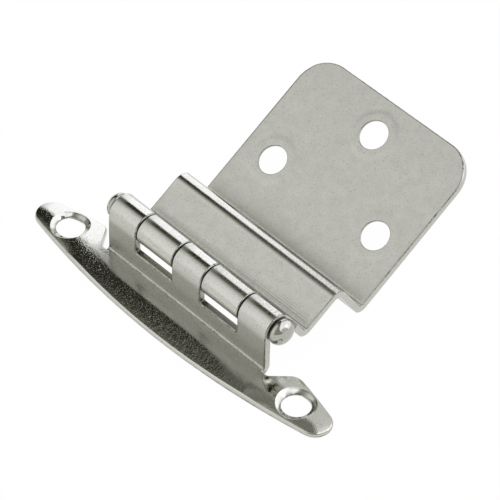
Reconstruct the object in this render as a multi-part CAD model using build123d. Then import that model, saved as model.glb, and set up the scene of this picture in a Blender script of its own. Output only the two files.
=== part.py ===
from build123d import *
import math
import os

# A surface mount cabinet hinge for a lipped door: two leaves folded from sheet steel
# and one pin. The pin runs along X and +Y points to the door side. The origin is midway
# between the frame leaf's two screw holes, in the plane of its rim, which lies on Z = 0.
# The pieces are drawn with the pin above Y = 0 and moved to that origin at the end.

# Sheet, common to both leaves
SHEET = 1.25
EDGE_BREAK = 0.2

# Pin
PIN_DIA = 2.94
PIN_CLEARANCE = 0.03
NEAR_HEAD_DIA = 4.1
NEAR_HEAD_HEIGHT = 2.6
FAR_HEAD_DIA = 4.2
FAR_HEAD_HEIGHT = 2.2
HEAD_SEAT_GAP = 0.02

# Barrel: three knuckles of the frame leaf and two of the door leaf between them
BARREL_LENGTH = 38.1
SLOT_WIDTH = 8.95
MIDDLE_KNUCKLE = 6.8
KNUCKLE_GAP = 0.2
KNUCKLE_SWEEP = 290.0
AXIS_HEIGHT = 9.1
SLOT_DEPTH_BELOW_KNUCKLE = 1.15

# Frame leaf: a boat-shaped plate, hollow behind, with its inner edge folded up into a wall
BOAT_LENGTH = 70.2
BOAT_TIP_RADIUS = 2.95
BOAT_TIP_Y = -4.0
BOAT_OUTER_Y = -10.22
BOAT_INNER_Y = 3.1
BOAT_HOLLOW = 0.4
BOAT_RIM_WIDTH = 1.6
BOAT_RIM_RADIUS = 0.5
CROWN_CREST_Y = -4.0
CROWN_DROP = 0.75
WALL_FOLD_RADIUS = 0.35
NOTCH_RADIUS = 0.8
EAR_SLOPE = 53.0
EAR_CORNER_RADIUS = 2.0
BOAT_HOLE_SPACING = 55.3
BOAT_HOLE_Y = -3.82
BOAT_HOLE_DIA = 5.0
BOAT_SINK_DIA = 6.8

# Door leaf, drawn closed: V runs across the leaf from the pin and W out of its front faces
DOOR_FOLD_RADIUS = 0.6
STUB_HEIGHT = 3.1
STRIP_REACH = 11.95
STEP_HEIGHT = 9.6
LEAF_REACH = 42.8
LEAF_CORNER_RADIUS = 6.0
DOOR_HOLE_DIA = 5.25
DOOR_SINK_DIA = 7.0
DOOR_HOLE_SPACING = 24.8
DOOR_HOLE_V = 22.85
DOOR_HOLE_RISE = 13.5

# The hinge lies half open, with the frame leaf's rim and the door leaf's lower fold on one plane
REST_GAP = 0.02

# How near a point or a length must be to its drawn value to be picked
PICK = 0.01

# Sizes that follow from the ones above
BORE_R = PIN_DIA / 2 + PIN_CLEARANCE
KNUCKLE_R = BORE_R + SHEET
HALF_BARREL = BARREL_LENGTH / 2
SLOT_FLOOR = AXIS_HEIGHT - KNUCKLE_R - SLOT_DEPTH_BELOW_KNUCKLE
BOAT_FRONT = SHEET + BOAT_HOLLOW
STRIP_FRONT = BOAT_FRONT - AXIS_HEIGHT
PLATE_FRONT = STRIP_FRONT - STEP_HEIGHT
DOOR_FOLD_OUTER = DOOR_FOLD_RADIUS + SHEET
SLOT_CENTRES = [side * (MIDDLE_KNUCKLE + SLOT_WIDTH) / 2 for side in (-1, 1)]
END_KNUCKLE = HALF_BARREL - MIDDLE_KNUCKLE / 2 - SLOT_WIDTH
FRAME_KNUCKLES = [
    (-HALF_BARREL, END_KNUCKLE),
    (-MIDDLE_KNUCKLE / 2, MIDDLE_KNUCKLE),
    (HALF_BARREL - END_KNUCKLE, END_KNUCKLE),
]
DOOR_KNUCKLE = SLOT_WIDTH - 2 * KNUCKLE_GAP
DOOR_KNUCKLES = [(centre - DOOR_KNUCKLE / 2, DOOR_KNUCKLE) for centre in SLOT_CENTRES]


def along_pin(profile, start, length):
    """Extrude a profile drawn in the Y-Z plane along the pin."""
    return Pos(start, 0, 0) * extrude(Plane.YZ * profile, amount=length)


def curl(side):
    """Ring of rolled sheet about the origin, open below on the given side, where its wall joins it.

    The roll leaves the wall at the side's tangent, goes over the top and ends under the pin.
    """
    gap = 360.0 - KNUCKLE_SWEEP
    reach = 2 * KNUCKLE_R
    ends = [math.radians(angle) for angle in (180.0, 180.0 + gap / 2, 180.0 + gap)]
    corners = [(side * -reach * math.cos(end), reach * math.sin(end)) for end in ends]
    wedge = make_face(Polyline((0, 0), *corners, close=True))
    return Circle(KNUCKLE_R) - Circle(BORE_R) - wedge


def outer_edges(body, side):
    """Edges across the pin on the outside of a roll and of the wall that is tangent to it."""
    mid_sheet = BORE_R + SHEET / 2
    found = []
    for edge in body.edges().filter_by(Axis.X, reverse=True):
        middle = edge.position_at(0.5)
        on_roll = edge.geom_type == GeomType.CIRCLE and edge.radius > mid_sheet
        on_wall = edge.geom_type == GeomType.LINE and middle.Y * side > KNUCKLE_R - PICK
        if on_roll or on_wall:
            found.append(edge)
    return found


def wall_band(side, low, high):
    """Upright band of sheet, tangent to the knuckle on the given side."""
    centre = Pos(side * (BORE_R + SHEET / 2), (low + high) / 2)
    return centre * Rectangle(SHEET, high - low)


def quarter_fold(inner_radius):
    """Quarter of a folded sheet about the origin, in the quadrant of positive Y and negative Z."""
    outer_radius = inner_radius + SHEET
    quadrant = Pos(outer_radius / 2, -outer_radius / 2) * Rectangle(outer_radius, outer_radius)
    return quadrant & (Circle(outer_radius) - Circle(inner_radius))


def countersunk_hole(hole_dia, sink_dia):
    """Cutter for a hole along Z through a sheet whose sunk face is at Z = 0 and whose back is below."""
    drop = (sink_dia - hole_dia) / 2
    drill = Pos(0, 0, -SHEET) * Cylinder(hole_dia / 2, 4 * SHEET)
    cone = Pos(0, 0, -drop / 2) * Cone(hole_dia / 2, sink_dia / 2, drop)
    mouth = Pos(0, 0, SHEET / 2) * Cylinder(sink_dia / 2, SHEET)
    return drill + cone + mouth


def boat_arc(apex_y):
    """Radius and centre height of the long edge through the apex that is tangent to both tips."""
    tip_x = BOAT_LENGTH / 2 - BOAT_TIP_RADIUS
    rise = abs(apex_y - BOAT_TIP_Y)
    radius = (tip_x**2 + rise**2 - BOAT_TIP_RADIUS**2) / (2 * (rise - BOAT_TIP_RADIUS))
    centre_y = apex_y - math.copysign(radius, apex_y - BOAT_TIP_Y)
    return radius, centre_y


def boat_outline():
    """Pointed oval: two long arcs joined by a round tip at each end."""
    tip = Vector(BOAT_LENGTH / 2 - BOAT_TIP_RADIUS, BOAT_TIP_Y)
    touches = []
    for apex_y in (BOAT_OUTER_Y, BOAT_INNER_Y):
        centre_y = boat_arc(apex_y)[1]
        away = (tip - Vector(0, centre_y)).normalized()
        touches.append(tip + away * BOAT_TIP_RADIUS)
    outer, inner = touches
    end = BOAT_LENGTH / 2
    edges = [
        ThreePointArc((-outer.X, outer.Y), (0, BOAT_OUTER_Y), (outer.X, outer.Y)),
        ThreePointArc((outer.X, outer.Y), (end, BOAT_TIP_Y), (inner.X, inner.Y)),
        ThreePointArc((inner.X, inner.Y), (0, BOAT_INNER_Y), (-inner.X, inner.Y)),
        ThreePointArc((-inner.X, inner.Y), (-end, BOAT_TIP_Y), (-outer.X, outer.Y)),
    ]
    return make_face(edges)


def fold_relief(end):
    """Area cleared beside one end of the wall: a round notch that opens into the ear's sloping edge."""
    slope = math.radians(EAR_SLOPE)
    centre = Vector(HALF_BARREL + NOTCH_RADIUS, NOTCH_RADIUS - KNUCKLE_R)
    touch = centre + Vector(math.sin(slope), -math.cos(slope)) * NOTCH_RADIUS
    top = BOAT_INNER_Y + SHEET
    run = (top - touch.Y) / math.tan(slope)
    points = [
        (HALF_BARREL, centre.Y),
        (centre.X, centre.Y),
        (touch.X, touch.Y),
        (touch.X + run, top),
        (HALF_BARREL, top),
    ]
    notch = make_face(Polyline(*points, close=True)) + Pos(centre.X, centre.Y) * Circle(NOTCH_RADIUS)
    return notch if end > 0 else mirror(notch, about=Plane.YZ)


def crowned_block():
    """Block as long as the boat whose top is level as far as the crest and then rounds down to the outer edge."""
    run = CROWN_CREST_Y - BOAT_OUTER_Y
    radius = (run**2 + CROWN_DROP**2) / (2 * CROWN_DROP)
    inner = BOAT_INNER_Y + SHEET
    level = Pos((CROWN_CREST_Y + inner) / 2, BOAT_FRONT / 2) * Rectangle(inner - CROWN_CREST_Y, BOAT_FRONT)
    outer = Pos(CROWN_CREST_Y - run / 2, BOAT_FRONT / 2) * Rectangle(run, BOAT_FRONT)
    crown = outer & (Pos(CROWN_CREST_Y, BOAT_FRONT - radius) * Circle(radius))
    return along_pin(level + crown, -BOAT_LENGTH / 2, BOAT_LENGTH)


def boat_plate():
    """Crowned boat with its relief notches, rounded rim, hollow back and two countersunk holes."""
    fold_start = -KNUCKLE_R - WALL_FOLD_RADIUS
    top = BOAT_INNER_Y + SHEET
    folded_away = Pos(0, (fold_start + top) / 2) * Rectangle(BARREL_LENGTH, top - fold_start)
    outline = boat_outline() - folded_away - fold_relief(1) - fold_relief(-1)
    inner_radius, inner_centre = boat_arc(BOAT_INNER_Y)
    ear_tips = [
        vertex
        for vertex in outline.vertices()
        if abs(math.hypot(vertex.X, vertex.Y - inner_centre) - inner_radius) < PICK
        and abs(vertex.X) < BOAT_HOLE_SPACING / 2
    ]
    outline = fillet(ear_tips, EAR_CORNER_RADIUS)
    plate = extrude(outline, amount=BOAT_FRONT) & crowned_block()
    upper = [edge for edge in plate.edges() if edge.position_at(0.5).Z > BOAT_FRONT - CROWN_DROP - PICK]
    rim = [
        edge
        for edge in upper
        if edge.geom_type == GeomType.BSPLINE
        or (edge.geom_type == GeomType.CIRCLE and edge.radius > NOTCH_RADIUS + PICK)
    ]
    plate = fillet(rim, BOAT_RIM_RADIUS)
    plate -= extrude(offset(boat_outline(), -BOAT_RIM_WIDTH), amount=BOAT_HOLLOW)
    for side in (-1, 1):
        place = Pos(side * BOAT_HOLE_SPACING / 2, BOAT_HOLE_Y, BOAT_FRONT)
        plate -= place * countersunk_hole(BOAT_HOLE_DIA, BOAT_SINK_DIA)
    return plate


def knuckle(side, foot, length):
    """One roll about the origin with its own length of wall down to the foot, outside edges broken."""
    roll = along_pin(curl(side) + wall_band(side, foot, 0), 0, length)
    return chamfer(outer_edges(roll, side), EDGE_BREAK)


def frame_leaf():
    """Boat-shaped plate, folded wall with two slots, and three knuckles."""
    fold_top = BOAT_FRONT + WALL_FOLD_RADIUS
    fold_centre = Pos(-KNUCKLE_R - WALL_FOLD_RADIUS, fold_top)
    fold = along_pin(fold_centre * quarter_fold(WALL_FOLD_RADIUS), -HALF_BARREL, BARREL_LENGTH)
    wall = along_pin(wall_band(-1, fold_top, SLOT_FLOOR), -HALF_BARREL, BARREL_LENGTH)
    leaf = boat_plate() + fold + chamfer(outer_edges(wall, -1), EDGE_BREAK)
    for start, length in FRAME_KNUCKLES:
        leaf += Pos(start, 0, AXIS_HEIGHT) * knuckle(-1, SLOT_FLOOR - AXIS_HEIGHT, length)
    return leaf


def door_section():
    """Section of the folded door leaf: stub wall, strip behind the lip, step and screw plate."""
    strip_back = STRIP_FRONT - SHEET
    plate_back = PLATE_FRONT - SHEET
    near = KNUCKLE_R + DOOR_FOLD_RADIUS
    shoulder = STRIP_REACH - DOOR_FOLD_OUTER
    foot = STRIP_REACH + DOOR_FOLD_RADIUS
    fold = quarter_fold(DOOR_FOLD_RADIUS)
    stub = wall_band(1, STRIP_FRONT + DOOR_FOLD_RADIUS, STRIP_FRONT + STUB_HEIGHT)
    near_fold = Pos(near, STRIP_FRONT + DOOR_FOLD_RADIUS) * mirror(fold, about=Plane.YZ)
    strip = Pos((near + shoulder) / 2, strip_back + SHEET / 2) * Rectangle(shoulder - near, SHEET)
    shoulder_fold = Pos(shoulder, STRIP_FRONT - DOOR_FOLD_OUTER) * mirror(fold, about=Plane.XZ)
    step_top = STRIP_FRONT - DOOR_FOLD_OUTER
    step_bottom = PLATE_FRONT + DOOR_FOLD_RADIUS
    step_middle = (step_top + step_bottom) / 2
    step = Pos(STRIP_REACH - SHEET / 2, step_middle) * Rectangle(SHEET, step_top - step_bottom)
    foot_fold = Pos(foot, step_bottom) * mirror(fold, about=Plane.YZ)
    plate = Pos((foot + LEAF_REACH) / 2, plate_back + SHEET / 2) * Rectangle(LEAF_REACH - foot, SHEET)
    return stub + near_fold + strip + shoulder_fold + step + foot_fold + plate


def sheared_rim(leaf):
    """Long edges of the sheet's cut sides: both ends, the far side and the round corners between them."""
    sides = leaf.faces().filter_by(Axis.X) + leaf.faces().sort_by(Axis.Y)[-1:]
    rounds = leaf.faces().filter_by(GeomType.CYLINDER)
    sides += [face for face in rounds if abs(face.radius - LEAF_CORNER_RADIUS) < PICK]
    return [edge for face in sides for edge in face.edges() if edge.length > SHEET + PICK]


def door_leaf():
    """Door leaf about the pin's axis, drawn closed."""
    leaf = along_pin(door_section(), -HALF_BARREL, BARREL_LENGTH)
    corners = leaf.edges().filter_by(Axis.Z).group_by(Axis.Y)[-1]
    leaf = fillet(corners, LEAF_CORNER_RADIUS)
    leaf = chamfer(sheared_rim(leaf), EDGE_BREAK)
    for start, length in DOOR_KNUCKLES:
        leaf += Pos(start, 0, 0) * knuckle(1, STRIP_FRONT + STUB_HEIGHT, length)
    half = DOOR_HOLE_SPACING / 2
    holes = [(-half, DOOR_HOLE_V), (half, DOOR_HOLE_V), (0, DOOR_HOLE_V + DOOR_HOLE_RISE)]
    sunk_from_back = Rotation(180, 0, 0) * countersunk_hole(DOOR_HOLE_DIA, DOOR_SINK_DIA)
    for along, across in holes:
        leaf -= Pos(along, across, PLATE_FRONT - SHEET) * sunk_from_back
    return leaf


def rest_angle():
    """Opening at which the door leaf's lower fold comes down to the plane of the frame leaf's rim."""
    across = STRIP_REACH - SHEET + DOOR_FOLD_OUTER
    below = SHEET - PLATE_FRONT - DOOR_FOLD_OUTER
    drop = AXIS_HEIGHT - DOOR_FOLD_OUTER - REST_GAP
    return math.degrees(math.atan2(below, across) - math.asin(drop / math.hypot(across, below)))


def dome_arc(base_dia, height, seat, direction):
    """Half outline of a domed head, from its tip on the pin's axis to the rim that faces the barrel."""
    rim = base_dia / 2
    ball = (rim**2 + height**2) / (2 * height)
    half_way = math.atan2(rim, ball - height) / 2
    centre = seat + direction * (height - ball)
    middle = (centre + direction * ball * math.cos(half_way), ball * math.sin(half_way))
    return ThreePointArc((seat + direction * height, 0), middle, (seat, rim))


def hinge_pin():
    """Pin through all five knuckles, with a round button at each end."""
    seat = HALF_BARREL + HEAD_SEAT_GAP
    shank = PIN_DIA / 2
    outline = [
        Line((-seat - FAR_HEAD_HEIGHT, 0), (seat + NEAR_HEAD_HEIGHT, 0)),
        dome_arc(NEAR_HEAD_DIA, NEAR_HEAD_HEIGHT, seat, 1),
        Line((seat, NEAR_HEAD_DIA / 2), (seat, shank)),
        Line((seat, shank), (-seat, shank)),
        Line((-seat, shank), (-seat, FAR_HEAD_DIA / 2)),
        dome_arc(FAR_HEAD_DIA, FAR_HEAD_HEIGHT, -seat, -1),
    ]
    return Pos(0, 0, AXIS_HEIGHT) * revolve(make_face(outline), axis=Axis.X)


def main():
    """Write each piece to its own file, moved to the origin between the frame leaf's screw holes."""
    angle = rest_angle()
    opened_door = Pos(0, 0, AXIS_HEIGHT) * Rotation(angle, 0, 0) * door_leaf()
    pieces = {"frame_leaf": frame_leaf(), "door_leaf": opened_door, "hinge_pin": hinge_pin()}
    os.makedirs("parts", exist_ok=True)
    for name, piece in pieces.items():
        export_step(Pos(0, -BOAT_HOLE_Y, 0) * piece, f"parts/{name}.step")
    print(f"door leaf open by {angle:.3f} degrees")


main()
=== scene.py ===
"""Looks of a surface mount cabinet hinge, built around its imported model.

Both leaves are made the way they are pressed: a flat blank with round edges and pierced holes is laid out,
then bent along the section that its folds and rolls follow. The pin is turned from its half outline.

Sizes are in millimetres until a mesh is written. On a blank, x runs along the pin, s runs along the
section, and depth is 0 on the front face and minus the sheet's thickness on the back face.
"""

import logging
import math
from abc import ABC, abstractmethod
from collections.abc import Iterable, Sequence
from dataclasses import dataclass
from enum import Enum
from functools import reduce

import bpy
import numpy as np
from mathutils import Matrix, Vector
from mathutils.geometry import delaunay_2d_cdt


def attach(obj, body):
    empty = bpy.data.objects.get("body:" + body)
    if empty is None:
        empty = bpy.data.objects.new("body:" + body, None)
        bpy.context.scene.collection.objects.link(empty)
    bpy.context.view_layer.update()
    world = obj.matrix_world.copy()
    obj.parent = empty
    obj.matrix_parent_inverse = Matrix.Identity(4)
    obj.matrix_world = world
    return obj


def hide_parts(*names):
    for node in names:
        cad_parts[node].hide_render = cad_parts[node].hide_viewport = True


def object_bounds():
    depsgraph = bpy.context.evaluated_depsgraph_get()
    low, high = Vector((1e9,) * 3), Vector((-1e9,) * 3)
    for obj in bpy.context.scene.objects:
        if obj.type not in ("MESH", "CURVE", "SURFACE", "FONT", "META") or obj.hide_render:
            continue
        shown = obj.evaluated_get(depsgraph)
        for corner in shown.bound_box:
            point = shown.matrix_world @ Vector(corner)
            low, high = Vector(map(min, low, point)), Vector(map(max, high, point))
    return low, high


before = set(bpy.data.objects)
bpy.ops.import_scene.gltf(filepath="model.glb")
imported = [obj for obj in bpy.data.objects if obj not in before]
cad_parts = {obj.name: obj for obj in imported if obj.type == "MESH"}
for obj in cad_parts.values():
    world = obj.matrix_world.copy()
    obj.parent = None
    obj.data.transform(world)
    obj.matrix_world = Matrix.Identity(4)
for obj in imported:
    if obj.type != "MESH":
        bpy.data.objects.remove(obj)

CAD_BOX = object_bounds()
MM = 0.001
QUARTER = math.pi / 2
TINY = 1e-3
LEVEL_GAP = 0.05
CDT_INSIDE = 1
CDT_EPSILON = 1e-7
NICKEL = (0.55, 0.55, 0.498)
# the nickel colour darkened for the pin: painted shade, a shaded copy of the same nickel
SHADED_NICKEL = (0.45, 0.45, 0.407)
WHITE = (1.0, 1.0, 1.0)

log = logging.getLogger("cabinet_hinge")

Pair = tuple[float, float]
Triple = tuple[float, float, float]
Corner = tuple[float, float, float]  # x, s and the radius it is rounded to
Table = tuple[tuple[float, ...], tuple[float, ...]]  # depths below the front, and the share of painted shade at each
Stops = Iterable[tuple[float, Triple]]  # places on a colour ramp, and their colours
Array = np.ndarray
Rows = list[Array]
Socket = bpy.types.NodeSocket
Feed = dict[str | int, object]  # a socket to link or a value to set, for each input of a node


def ease(low: float, high: float, value: Array) -> Array:
    """Smooth step from 0 at the low value to 1 at the high value."""
    t = np.clip((value - low) / (high - low), 0, 1)
    return t * t * (3 - 2 * t)


def soft_line(away: Array, reach: float) -> Array:
    """Soft line that is 1 where the distance is zero and fades over the reach."""
    return np.exp(-((away / reach) ** 2))


def unit(rows: Array) -> Array:
    """Vectors scaled to a length of one."""
    return rows / np.linalg.norm(rows, axis=1, keepdims=True)


def arc(centre: Sequence[float], radius: float, angles: Array) -> list[Corner]:
    """Points of an arc, as corners that stay as they are."""
    return [(centre[0] + radius * math.cos(a), centre[1] + radius * math.sin(a), 0.0) for a in angles]


def lattice(x_range: Pair, s_values: Iterable[float], x_step: float) -> Array:
    """Points x, s in rows across the blank, at the given places and about a step apart."""
    xs = np.linspace(*x_range, max(2, round((x_range[1] - x_range[0]) / x_step)) + 1)
    return np.array([(x, s) for s in s_values for x in xs])


def paint(mesh: bpy.types.Mesh, name: str, values: Array) -> None:
    """Stores one value for each point of a mesh under a name."""
    layer = mesh.attributes.new(name, "FLOAT", "POINT")
    layer.data.foreach_set("value", np.asarray(values, np.float32))


@dataclass(frozen=True)
class Run:
    """One stretch of a folded section.

    A turn of zero is a straight run. A positive turn bends towards the front, so the front is hollow there.
    """

    length: float
    turn: float = 0.0


def bend(front_radius: float, turn_deg: float) -> Run:
    """A run bent to a radius on the front face."""
    turn = math.radians(turn_deg)
    return Run(front_radius * abs(turn), turn)


class FoldPath:
    """Front line of a folded sheet, in the plane across the pin."""

    def __init__(self, start: Pair, heading: float, runs: list[Run], first: float = 0.0) -> None:
        """Lays the runs end to end.

        Args:
            start: Y and Z of the first point.
            heading: direction of the first run, in radians from +Y towards +Z.
            runs: the straight and bent runs in order.
            first: distance given to the first point.
        """
        self.runs = runs
        self.marks = [first]
        self.starts = [np.array(start, float)]
        self.headings = [heading]
        for run in runs:
            end, _, _, heading = self._along(run, self.starts[-1], self.headings[-1], np.array([run.length]))
            self.starts.append(end[0])
            self.headings.append(float(heading[0]))
            self.marks.append(self.marks[-1] + run.length)

    @staticmethod
    def _along(run: Run, start: Array, heading: float, t: Array) -> tuple[Array, ...]:
        """Follows one run.

        Args:
            run: the run.
            start: Y and Z of its first point.
            heading: its first direction.
            t: distances along it.

        Returns:
            Points, tangents, front normals and headings at those distances.
        """
        rate = run.turn / run.length if run.length else 0.0
        angle = heading + rate * t
        tangent = np.stack([np.cos(angle), np.sin(angle)], 1)
        normal = np.stack([-np.sin(angle), np.cos(angle)], 1)
        if rate:
            step = np.stack([np.sin(angle) - math.sin(heading), math.cos(heading) - np.cos(angle)], 1) / rate
        else:
            step = tangent * t[:, None]
        return start + step, tangent, normal, angle

    def at(self, s: Array) -> Rows:
        """Follows the whole section.

        Args:
            s: distances; what lies past either end follows the end run on.

        Returns:
            Points, tangents and front normals, as three arrays of Y, Z pairs.
        """
        which = np.clip(np.searchsorted(self.marks, s, side="right") - 1, 0, len(self.runs) - 1)
        found = [np.zeros((len(s), 2)) for _ in range(3)]
        for i, run in enumerate(self.runs):
            mask = which == i
            if mask.any():
                along = self._along(run, self.starts[i], self.headings[i], s[mask] - self.marks[i])
                for whole, part in zip(found, along):
                    whole[mask] = part
        return found

    def levels(self, step_deg: float) -> list[float]:
        """Cuts every bent run into small turns.

        Args:
            step_deg: about how much each of them turns.

        Returns:
            The distances of the cuts.
        """
        found: list[float] = []
        for run, mark in zip(self.runs, self.marks):
            if run.turn:
                count = max(2, round(abs(math.degrees(run.turn)) / step_deg))
                found += [mark + run.length * i / count for i in range(count + 1)]
        return sorted(set(round(f, 6) for f in found))


@dataclass(frozen=True)
class Spot:
    """A soft round or oval spot on a blank."""

    x: float
    s: float
    reach: Pair
    share: float

    def at(self, x: Array, s: Array) -> Array:
        """Strength of the spot at points of the blank."""
        away = np.hypot((x - self.x) / self.reach[0], (s - self.s) / self.reach[1])
        return self.share * soft_line(away, 1.0)


@dataclass(frozen=True)
class RoundHole:
    """A pierced hole, as radii and depths below the front, from the front face to the back face."""

    x: float
    s: float
    profile: tuple[Pair, ...]

    def rows(self, count: int) -> tuple[Rows, Rows]:
        """Rings of points and normals down the hole's wall, in blank coordinates.

        Args:
            count: points round each ring.

        Returns:
            One array of x, s, depth for each ring, and one array of normals for each.
        """
        around = -np.arange(count) * 2 * math.pi / count
        out = np.stack([np.cos(around), np.sin(around)], 1)
        radii, drops = np.array(self.profile).T
        rows, normals = [], []
        for r, d, dr, dd in zip(radii, drops, np.gradient(radii), np.gradient(drops)):
            rows.append(np.column_stack([self.x + r * out[:, 0], self.s + r * out[:, 1], np.full(count, -d)]))
            normals.append(unit(np.column_stack([-dd * out, np.full(count, -dr)])))
        normals[0][:] = (0, 0, 1)
        normals[-1][:] = (0, 0, -1)
        return rows, normals

    def away(self, points: Array) -> Array:
        """Distances of points of the blank from the hole's middle."""
        return np.hypot(points[:, 0] - self.x, points[:, 1] - self.s)


def round_corners(corners: list[Corner], steps: int = 5) -> Array:
    """Closed loop of points with each corner rounded to its own radius.

    Args:
        corners: x, s and radius of each corner, anticlockwise; a radius of zero keeps the point as it is.
        steps: points on each rounded corner, less one.

    Returns:
        The loop as an array of x, s.
    """
    loop: Rows = []
    points = np.array([c[:2] for c in corners])
    for i, (_, _, radius) in enumerate(corners):
        here, before, after = points[i], points[i - 1], points[(i + 1) % len(points)]
        if radius == 0:
            loop.append(here)
            continue
        back = (before - here) / np.linalg.norm(before - here)
        on = (after - here) / np.linalg.norm(after - here)
        half = math.acos(float(np.clip(back @ on, -1, 1))) / 2
        centre = here + (back + on) / np.linalg.norm(back + on) * radius / math.sin(half)
        first = here + back * radius / math.tan(half) - centre
        last = here + on * radius / math.tan(half) - centre
        sweep = math.pi - 2 * half
        for t in np.arange(steps + 1) / steps:
            mix = (math.sin((1 - t) * sweep) * first + math.sin(t * sweep) * last) / math.sin(sweep)
            loop.append(centre + mix)
    return np.array(loop)


def cut_at_levels(loop: Array, levels: list[float], half_width: float) -> Array:
    """Adds a point wherever an edge of a loop crosses a level.

    Args:
        loop: the closed loop of x, s.
        levels: values of s.
        half_width: edges further than this from the middle are left alone.

    Returns:
        The loop with its new points.
    """
    cut: Rows = []
    for a, b in zip(loop, np.roll(loop, -1, 0)):
        cut.append(a)
        if max(abs(a[0]), abs(b[0])) > half_width + TINY:
            continue
        low, high = sorted((a[1], b[1]))
        inside = [v for v in levels if low + LEVEL_GAP < v < high - LEVEL_GAP]
        for level in inside if b[1] > a[1] else reversed(inside):
            t = (level - a[1]) / (b[1] - a[1])
            cut.append(a + t * (b - a))
    return np.array(cut)


def inward(loop: Array) -> Array:
    """Finds the way in from a loop.

    Args:
        loop: points of a closed anticlockwise loop.

    Returns:
        Vectors that move each point inwards by one unit.
    """
    edge = unit(np.roll(loop, -1, 0) - loop)
    side = np.stack([-edge[:, 1], edge[:, 0]], 1)
    before = np.roll(side, 1, 0)
    return (side + before) / (1 + np.sum(side * before, 1, keepdims=True))


def inside_loop(points: Array, loop: Array) -> Array:
    """Tells which points lie inside a closed loop.

    Args:
        points: x, s of the points.
        loop: x, s of the loop.

    Returns:
        True for each point inside.
    """
    hit = np.zeros(len(points), bool)
    for a, b in zip(loop, np.roll(loop, -1, 0)):
        spans = (a[1] > points[:, 1]) != (b[1] > points[:, 1])
        rise = b[1] - a[1] if b[1] != a[1] else 1.0
        hit ^= spans & (points[:, 0] < a[0] + (points[:, 1] - a[1]) / rise * (b[0] - a[0]))
    return hit


@dataclass(frozen=True)
class Wiring:
    """Adds nodes to one node tree and wires them up."""

    tree: bpy.types.NodeTree

    def feed(self, node: bpy.types.Node, inputs: Feed) -> None:
        """Links or sets inputs of a node.

        Args:
            node: the node.
            inputs: for each input, by name or place, the socket to link or the value to set.
        """
        for key, value in inputs.items():
            if isinstance(value, Socket):
                self.tree.links.new(value, node.inputs[key])
            else:
                node.inputs[key].default_value = value

    def add(self, kind: str, inputs: Feed | None = None) -> bpy.types.Node:
        """Adds a node.

        Args:
            kind: type name of the node.
            inputs: what to link or set, as for feed.

        Returns:
            The node.
        """
        node = self.tree.nodes.new(kind)
        self.feed(node, inputs or {})
        return node

    def math(self, operation: str, *values: Socket | float, clamp: bool = False) -> Socket:
        """Adds a math node.

        Args:
            operation: name of the operation.
            values: sockets and numbers.
            clamp: whether the result is held between 0 and 1.

        Returns:
            The result.
        """
        node = self.tree.nodes.new("ShaderNodeMath")
        node.operation = operation
        node.use_clamp = clamp
        self.feed(node, dict(enumerate(values)))
        return node.outputs[0]

    def chain(self, operation: str, *values: Socket | float) -> Socket:
        """Joins any number of values by one operation, from left to right."""
        return reduce(lambda one, other: self.math(operation, one, other), values)

    def remap(self, value: Socket, span: Pair, ends: Pair = (0.0, 1.0), smooth: bool = False) -> Socket:
        """Adds a map range node.

        Args:
            value: what is mapped.
            span: the two values between which the result changes.
            ends: the results there.
            smooth: whether it changes by a smooth step.

        Returns:
            The result, held between the two ends.
        """
        names = ("From Min", "From Max", "To Min", "To Max")
        node = self.add("ShaderNodeMapRange", {"Value": value, **dict(zip(names, (*span, *ends)))})
        node.interpolation_type = "SMOOTHSTEP" if smooth else "LINEAR"
        return node.outputs["Result"]

    def noise(self, place: Socket, size: float, detail: float) -> Socket:
        """A noise texture with features of about the given size."""
        inputs = {"Vector": place, "Scale": 1.0 / (size * MM), "Detail": detail}
        return self.add("ShaderNodeTexNoise", inputs).outputs["Fac"]

    def ramp(self, value: Socket, stops: Stops) -> Socket:
        """Adds a colour ramp.

        Args:
            value: what picks the colour.
            stops: places from 0 to 1 and their colours.

        Returns:
            The colour.
        """
        stops = list(stops)
        node = self.add("ShaderNodeValToRGB", {"Fac": value})
        elements = node.color_ramp.elements
        while len(elements) < len(stops):
            elements.new(0.5)
        for element, (where, colour) in zip(elements, stops):
            element.position = where
            element.color = (*colour, 1.0)
        return node.outputs["Color"]

    def mix(self, kind: str, share: Socket | float, first: Socket, second: object) -> Socket:
        """Adds a colour mix.

        Args:
            kind: how the colours blend.
            share: share of the second colour.
            first: the first colour.
            second: the second colour, as a socket or four numbers.

        Returns:
            The mixed colour.
        """
        node = self.tree.nodes.new("ShaderNodeMix")
        node.data_type = "RGBA"
        node.blend_type = kind
        self.feed(node, {0: share, 6: first, 7: second})
        return node.outputs[2]

    def painted(self, name: str) -> Socket:
        """Reads a value painted on the mesh.

        Args:
            name: name of the value.

        Returns:
            The value.
        """
        node = self.add("ShaderNodeAttribute")
        node.attribute_name = name
        return node.outputs["Fac"]


class Grain(Enum):
    """How the plating lies over the steel."""

    PEEL = "orange peel over a bright plate"
    SATIN = "satin with hair scratches"
    DENTED = "bright, with shallow dents"


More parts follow.
